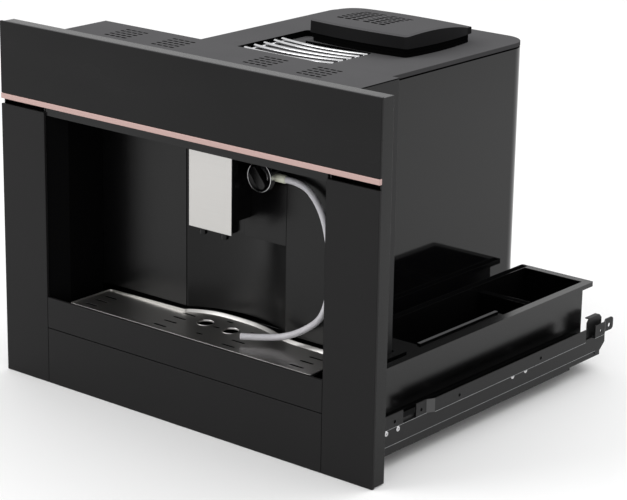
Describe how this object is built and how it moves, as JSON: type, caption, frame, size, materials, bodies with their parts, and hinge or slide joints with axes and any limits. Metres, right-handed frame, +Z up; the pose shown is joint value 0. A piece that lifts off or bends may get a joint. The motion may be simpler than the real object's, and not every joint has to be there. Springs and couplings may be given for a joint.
{
  "type": "built in coffee machine",
  "caption": "Compact built in coffee machine with a niche, drip tray drawer, height adjustable spout, bean hopper and storage tub, on telescopic slides.",
  "frame": {"origin": "on the cabinet floor at the cabinet's front edge, centred in width", "axes": "+X to the right seen from the front, +Y to the rear, +Z up"},
  "size_m": [0.595, 0.5366, 0.455],
  "materials": {
    "panel_black": "satin black fascia plates",
    "glass_black": "black glass control panel",
    "rose_strip": "anodised rose gold strip",
    "steel_black": "black painted sheet steel",
    "zinc_steel": "zinc coated sheet steel",
    "bright_steel": "brushed stainless steel",
    "chrome": "polished chrome",
    "liner_black": "matt black moulding",
    "body_black": "gloss black body shell",
    "cover_grey": "dark grey textured cover",
    "tub_black": "black moulded tub",
    "hose_silicone": "translucent silicone hose",
    "collar_plastic": "pale collar",
    "tank_clear": "smoke grey clear plastic",
    "machinery": "cast and machined inner parts"
  },
  "bodies": {
    "cabinet_side": {"base_plate": "steel_black", "rail_bracket_right": "steel_black", "rail_bracket_left": "steel_black", "slide_outer_right": "steel_black", "slide_outer_left": "steel_black", "slide_stop_right": "chrome", "slide_stop_left": "chrome", "slide_rivets": "chrome"},
    "slide_middles": {"slide_middle_right": "zinc_steel", "slide_middle_left": "zinc_steel"},
    "machine": {"slide_inner_right": "zinc_steel", "slide_inner_left": "zinc_steel", "chassis_pan": "steel_black", "front_frame": "steel_black", "side_panel_right": "panel_black", "side_panel_left": "panel_black", "lower_panel": "panel_black", "accent_strip": "rose_strip", "control_panel": "glass_black", "control_case": "liner_black", "front_housing": "steel_black", "bridge_plate": "cover_grey", "niche_side_right": "liner_black", "niche_side_left": "liner_black", "niche_ceiling": "liner_black", "niche_back": "liner_black", "brew_column": "liner_black", "milk_valve": "chrome", "milk_collar": "collar_plastic", "milk_hose": "hose_silicone", "body_shell": "body_black", "top_cover": "cover_grey", "cup_rails": "chrome", "bean_hopper": "liner_black", "inner_bench": "zinc_steel", "brew_group": "liner_black", "boiler": "machinery", "grinder_motor": "machinery", "burr_housing": "machinery", "pump": "machinery", "power_inlet": "liner_black", "tank_cradle": "liner_black"},
    "tray_drawer": {"tray_plate": "steel_black", "tray_basin": "liner_black", "grounds_container": "liner_black", "tray_front": "panel_black"},
    "spout": {"spout_plate": "bright_steel", "spout_block": "liner_black", "spout_nozzles": "liner_black"},
    "milk_knob": {"milk_knob": "liner_black", "knob_ring": "chrome"},
    "hopper_lid": {"hopper_lid": "cover_grey"},
    "grind_dial": {"grind_dial": "liner_black"},
    "water_tank": {"water_tank": "tank_clear", "tank_lid": "liner_black"},
    "storage_tub": {"storage_tub": "tub_black", "tub_edge_bar": "bright_steel"}
  },
  "joints": [
    {"name": "machine_slide", "type": "slide", "parent": "cabinet_side", "child": "machine", "axis": [0, -1, 0], "range_m": [0, 0.34]},
    {"name": "middle_slide", "type": "slide", "parent": "cabinet_side", "child": "slide_middles", "axis": [0, -1, 0], "range_m": [0, 0.17]},
    {"name": "tray_slide", "type": "slide", "parent": "machine", "child": "tray_drawer", "axis": [0, -1, 0], "range_m": [0, 0.25]},
    {"name": "spout_slide", "type": "slide", "parent": "machine", "child": "spout", "axis": [0, 0, -1], "range_m": [0, 0.07]},
    {"name": "milk_knob_turn", "type": "hinge", "parent": "machine", "child": "milk_knob", "pos_m": [0.074, 0.044, 0.295], "axis": [0, 1, 0], "range_deg": [0, 90]},
    {"name": "hopper_lid_lift", "type": "slide", "parent": "machine", "child": "hopper_lid", "axis": [0, 0, 1], "range_m": [0, 0.12]},
    {"name": "grind_dial_turn", "type": "hinge", "parent": "machine", "child": "grind_dial", "pos_m": [0.069, 0.316, 0.4], "axis": [0, 0, 1], "range_deg": [0, 270]},
    {"name": "tank_lift", "type": "slide", "parent": "machine", "child": "water_tank", "axis": [0, 0, 1], "range_m": [0, 0.22]},
    {"name": "tub_lift", "type": "slide", "parent": "machine", "child": "storage_tub", "axis": [0, 0, 1], "range_m": [0, 0.12]}
  ],
  "couplings": [
    {"joint": "middle_slide", "follows": "machine_slide", "ratio": 0.5}
  ]
}
